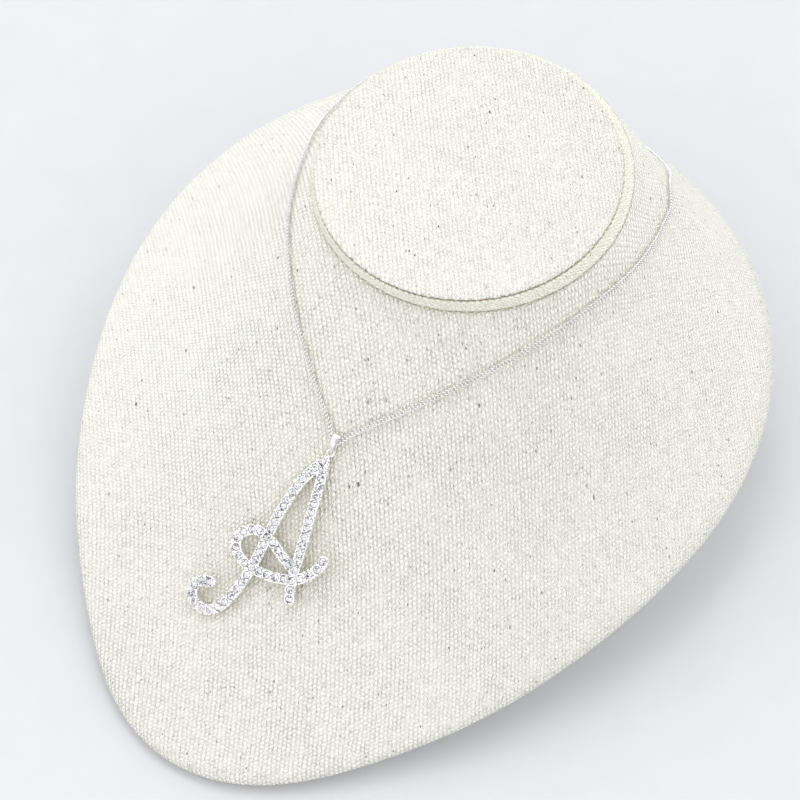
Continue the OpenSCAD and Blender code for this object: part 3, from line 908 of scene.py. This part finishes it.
def brilliant():
    """Full brilliant cut: table, 8 stars, 8 kites, 16 upper and 16 lower halves, 8 mains."""
    r = GEM_D / 2
    table, star, lower = 0.56 * r, 0.77 * r, 0.25 * r
    top, bottom = GIRDLE_T / 2, -GIRDLE_T / 2
    eighth = np.arange(8) * math.pi / 4
    half = eighth + math.pi / 8
    sixteenth = np.arange(16) * math.pi / 8
    star_z = CROWN_H + (top - CROWN_H) * (star * math.cos(math.pi / 8) - table) / (r - table)
    lower_z = -PAVILION_H + (bottom + PAVILION_H) * lower * math.cos(math.pi / 8) / r
    T = stack(table * np.cos(eighth), table * np.sin(eighth), CROWN_H)
    S = stack(star * np.cos(half), star * np.sin(half), star_z)
    G = stack(r * np.cos(sixteenth), r * np.sin(sixteenth), top)
    H = stack(r * np.cos(sixteenth), r * np.sin(sixteenth), bottom)
    L = stack(lower * np.cos(half), lower * np.sin(half), lower_z)
    points = np.concatenate([T, S, G, H, L, [[0, 0, -PAVILION_H]]])
    t, s, g, h, lo, tip = 0, 8, 16, 32, 48, 56
    faces = [tuple(range(8))]
    for k in range(8):
        n, b = (k + 1) % 8, (k + 7) % 8
        mid, nxt = 2 * k + 1, (2 * k + 2) % 16
        faces += [
            (t + n, t + k, s + k),
            (t + k, s + b, g + 2 * k, s + k),
            (s + k, g + 2 * k, g + mid),
            (s + k, g + mid, g + nxt),
            (lo + k, h + mid, h + 2 * k),
            (lo + k, h + nxt, h + mid),
            (tip, lo + k, h + 2 * k, lo + b),
        ]
    faces += [(g + k, h + k, h + (k + 1) % 16, g + (k + 1) % 16) for k in range(16)]
    return points, faces


def stone_set():
    points, faces = brilliant()
    all_points, all_faces = [], []
    for row in stone_places():
        for spot, _ in row:
            angle = rng.uniform(0, math.pi / 4)
            tilt = rng.normal(0, GEM_TILT, 2)
            tilted = Matrix.Rotation(tilt[0], 3, "X") @ Matrix.Rotation(tilt[1], 3, "Y")
            turned = points @ np.array(Matrix.Rotation(angle, 3, "Z")).T @ np.array(tilted).T
            start = len(all_points) * len(points)
            all_points.append(hang(turned + np.array([spot[0], spot[1], GIRDLE_Z])))
            all_faces += [tuple(i + start for i in f) for f in faces]
    points = np.array(all_points)
    make_piece("brilliants", points, all_faces, clear_stone, ["stones"], smooth=False)


BEAD_R = 0.32
BEAD_OUT = 1.33
BEAD_Z = PLATE_T + 0.02
# Distance from the stone to the pair of beads past it, in a row that has one stone only
BEAD_STEP = 1.45
# Least distance of a bead's centre from a stone's edge and from the stroke's
BEAD_FROM_STONE = 0.05
BEAD_FROM_EDGE = 0.3


def bead_points():
    """Places of the setting's beads: pairs between neighbours in a row and past its ends."""
    spots = []
    for row in stone_places():
        pairs = [((p + q) / 2, unit(d + e)) for (p, d), (q, e) in zip(row, row[1:])]
        step = np.linalg.norm(row[0][0] - row[1][0]) / 2 if len(row) > 1 else BEAD_STEP
        pairs.append((row[0][0] - row[0][1] * step, row[0][1]))
        pairs.append((row[-1][0] + row[-1][1] * step, row[-1][1]))
        for middle, ahead in pairs:
            aside = np.array([-ahead[1], ahead[0]])
            spots += [middle + aside * BEAD_OUT, middle - aside * BEAD_OUT]
    centres = [p for row in stone_places() for p, _ in row]
    kept = []
    for spot in spots:
        to_stone = min(np.linalg.norm(spot - c) for c in centres)
        clear_of_stones = to_stone > GEM_D / 2 + BEAD_FROM_STONE
        clear_of_beads = all(np.linalg.norm(spot - k) > 1.4 * BEAD_R for k in kept)
        if clear_of_stones and clear_of_beads and on_plate(spot):
            kept.append(spot)
    return kept


def on_plate(spot):
    """Whether a bead there still stands on a stroke."""
    reach = STROKE_W / 2 - BEAD_FROM_EDGE
    return min(np.min(np.linalg.norm(line - spot, axis=-1)) for line in STROKES) < reach


def ball(rows=6, around=10):
    phi = np.linspace(0, math.pi, rows + 2)[1:-1]
    theta = np.arange(around) * 2 * math.pi / around
    r, z = np.sin(phi)[:, None], np.cos(phi)[:, None]
    points = stack(r * np.cos(theta), r * np.sin(theta), z).reshape(-1, 3)
    points = np.concatenate([points, [[0, 0, 1], [0, 0, -1]]])
    faces = [f[::-1] for f in grid_faces(rows, around)]
    top, bottom, last = len(points) - 2, len(points) - 1, (rows - 1) * around
    faces += [(top, k, (k + 1) % around) for k in range(around)]
    faces += [(bottom, last + (k + 1) % around, last + k) for k in range(around)]
    return points, faces


def setting_beads():
    points, faces = ball()
    all_points, all_faces = [], []
    for spot in bead_points():
        size = BEAD_R * rng.uniform(0.85, 1.1)
        start = len(all_points) * len(points)
        all_points.append(hang(points * size + np.array([spot[0], spot[1], BEAD_Z])))
        all_faces += [tuple(i + start for i in f) for f in faces]
    make_piece("setting_beads", np.array(all_points), all_faces, silver)
    return len(all_points)


def bail_line(t):
    """Middle of the bail's band in the pendant's own Y and Z, t from 0 at the foot round to 1."""
    up = (1 - np.cos(2 * math.pi * t)) / 2
    y = BAIL_FOOT + BAIL_T / 2 + (BAIL_L - BAIL_T) * up
    depth = (BAIL_OPEN + BAIL_T) / 2 * (1 - BAIL_PINCH * (1 - up))
    z = PLATE_T / 2 + np.sin(2 * math.pi * t) * depth
    z = z + BAIL_RISE * np.clip((up - RISE_FROM) / RISE_OVER, 0, 1)
    return y, z, up


def bail_piece():
    rows = 120
    t = np.arange(rows) / rows
    y, z, up = bail_line(t)
    y2, z2, _ = bail_line(t + 0.002)
    y1, z1, _ = bail_line(t - 0.002)
    ahead = unit(np.stack([y2 - y1, z2 - z1], axis=-1))
    out = np.stack([ahead[:, 1], -ahead[:, 0]], axis=-1)
    half = (BAIL_W_LOW + (BAIL_W - BAIL_W_LOW) * up) / 2
    # Section of the band: a flat strip whose edges are rounded over.
    soft = BAIL_T / 2
    left = [(-1, 0, 0), (-1, 0.3, 0.75), (-1, 1, 1)]
    section = [*left, (0, 0, 1.06), *((1, inward, h) for _, inward, h in reversed(left))]
    section += [(s, inward, -h) for s, inward, h in reversed(section[1:-1])]
    rings = []
    for sign, inward, height in section:
        x = sign * (half - soft * inward)
        proud = height * soft * out
        rings.append(stack(RING_AT[0] + x, y + proud[:, 0], z + proud[:, 1]))
    rings = np.stack(rings, axis=1)
    faces = grid_faces(rows, len(section), closed_rows=True)
    make_piece("bail_band", hang(rings), faces, bail_silver, ["bail"])


# Room: floor, light and camera

# The tent's panels: strength of the dark and of the bright ones, scale, and edge between them
TENT_DARK = 0.05
TENT_BRIGHT = 1.85
TENT_SCALE = 4.2
TENT_EDGE = (0.38, 0.48)
# Cosines from the picture's side at which the tent's opening starts and is darkest, and the light
# that it keeps there
TENT_OPENING = (0.88, 0.93)
OPENING_KEPT = 0.35
FLOOR_HALF = 4.0
TO_CAMERA = (0.0, -math.cos(math.radians(VIEW_ELEVATION)), math.sin(math.radians(VIEW_ELEVATION)))
# Lights at one distance: direction as right of the picture, up the picture and above the table,
# size, power, colour, and whether metal and stones mirror them
LIGHT_DISTANCE = 1.8
LIGHTS = {
    "key": ((-1.0, 0.0, 0.5), 0.6, 1.85, (1.0, 0.995, 0.985), True),
    "top": ((0.0, 0.5, 1.1), 0.6, 4.6, (1, 1, 1), True),
    "front": (TO_CAMERA, 0.35, 6.2, (1, 1, 1), False),
}


FLOOR_TONES = ((0.55, 0.556, 0.578, 1), (0.562, 0.568, 0.59, 1))
FLOOR_ROUGHNESS = 0.75


def stage_floor():
    g = Graph("floor")
    place = g.node("ShaderNodeTexCoord", out=3)
    grain = g.noise(place, 60.0, 4.0)
    colour = g.mix(g.spread(grain, 0.3, 0.7), *FLOOR_TONES)
    g.principled(Base_Color=colour, Roughness=FLOOR_ROUGHNESS)
    corners = [(x * FLOOR_HALF, y * FLOOR_HALF, 0) for x, y in ((-1, -1), (1, -1), (1, 1), (-1, 1))]
    mesh = bpy.data.meshes.new("floor")
    mesh.from_pydata(corners, [], [(0, 1, 2, 3)])
    mesh.materials.append(g.material)
    floor = bpy.data.objects.new("floor", mesh)
    bpy.context.scene.collection.objects.link(floor)


def area_light(name, towards, size, power, colour, mirrored):
    plan = across_view * towards[0] + along_view * towards[1]
    direction = Vector((plan[0], plan[1], towards[2])).normalized()
    data = bpy.data.lights.new(name, "AREA")
    data.size = size
    data.energy = power
    data.color = colour
    light = bpy.data.objects.new(name, data)
    light.location = direction * LIGHT_DISTANCE
    light.rotation_mode = "QUATERNION"
    light.rotation_quaternion = direction.to_track_quat("Z", "Y")
    light.visible_glossy = mirrored
    light.visible_transmission = mirrored
    bpy.context.scene.collection.objects.link(light)


def room_light():
    """An even bright tent with darker gaps between its panels, and the three lights."""
    world = bpy.data.worlds.new("room")
    bpy.context.scene.world = world
    world.use_nodes = True
    tree = world.node_tree
    background = tree.nodes["Background"]
    place = tree.nodes.new("ShaderNodeTexCoord")
    panels = tree.nodes.new("ShaderNodeTexNoise")
    panels.inputs["Scale"].default_value = TENT_SCALE
    panels.inputs["Detail"].default_value = 2.0
    tree.links.new(place.outputs["Generated"], panels.inputs["Vector"])
    ramp = tree.nodes.new("ShaderNodeMapRange")
    for socket, value in zip(ramp.inputs[1:5], (*TENT_EDGE, TENT_DARK, TENT_BRIGHT)):
        socket.default_value = value
    tree.links.new(panels.outputs["Fac"], ramp.inputs[0])
    towards = tree.nodes.new("ShaderNodeVectorMath")
    towards.operation = "DOT_PRODUCT"
    tree.links.new(place.outputs["Generated"], towards.inputs[0])
    towards.inputs[1].default_value = view_back()
    opening = tree.nodes.new("ShaderNodeMapRange")
    opening.interpolation_type = "SMOOTHSTEP"
    for socket, value in zip(opening.inputs[1:5], (*TENT_OPENING, 1.0, OPENING_KEPT)):
        socket.default_value = value
    tree.links.new(towards.outputs["Value"], opening.inputs[0])
    lit = tree.nodes.new("ShaderNodeMath")
    lit.operation = "MULTIPLY"
    tree.links.new(ramp.outputs[0], lit.inputs[0])
    tree.links.new(opening.outputs[0], lit.inputs[1])
    tree.links.new(lit.outputs[0], background.inputs["Strength"])
    background.inputs["Color"].default_value = (1, 1, 1, 1)
    for name, settings in LIGHTS.items():
        area_light(name, *settings)
    bpy.context.scene.view_settings.view_transform = "Standard"


def view_back():
    """Direction from the part to the camera."""
    azimuth, elevation = math.radians(VIEW_AZIMUTH), math.radians(VIEW_ELEVATION)
    level = math.cos(elevation)
    return Vector((math.sin(azimuth) * level, -math.cos(azimuth) * level, math.sin(elevation)))


def camera():
    back = view_back()
    data = bpy.data.cameras.new("camera")
    data.lens = LENS
    data.sensor_width = SENSOR
    data.clip_start = 0.01
    made = bpy.data.objects.new("camera", data)
    made.location = (Vector(VIEW_AT) + back * VIEW_DISTANCE) * MM
    made.rotation_mode = "QUATERNION"
    roll = Matrix.Rotation(math.radians(VIEW_ROLL), 3, "Z").to_quaternion()
    made.rotation_quaternion = back.to_track_quat("Z", "Y") @ roll
    bpy.context.scene.collection.objects.link(made)
    bpy.context.scene.camera = made


camera()
stage_floor()
room_light()
bust_cloth()
neck_cloth()
pad_cloth()
link_count = chain_links()
clasp_piece()
stone_set()
bead_count = setting_beads()
bail_piece()
# The pendant's frame keeps the source's own shape and takes the silver of this scene.
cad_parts["frame"].data.materials.clear()
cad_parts["frame"].data.materials.append(plate_silver)
print("links", link_count, "beads", bead_count)
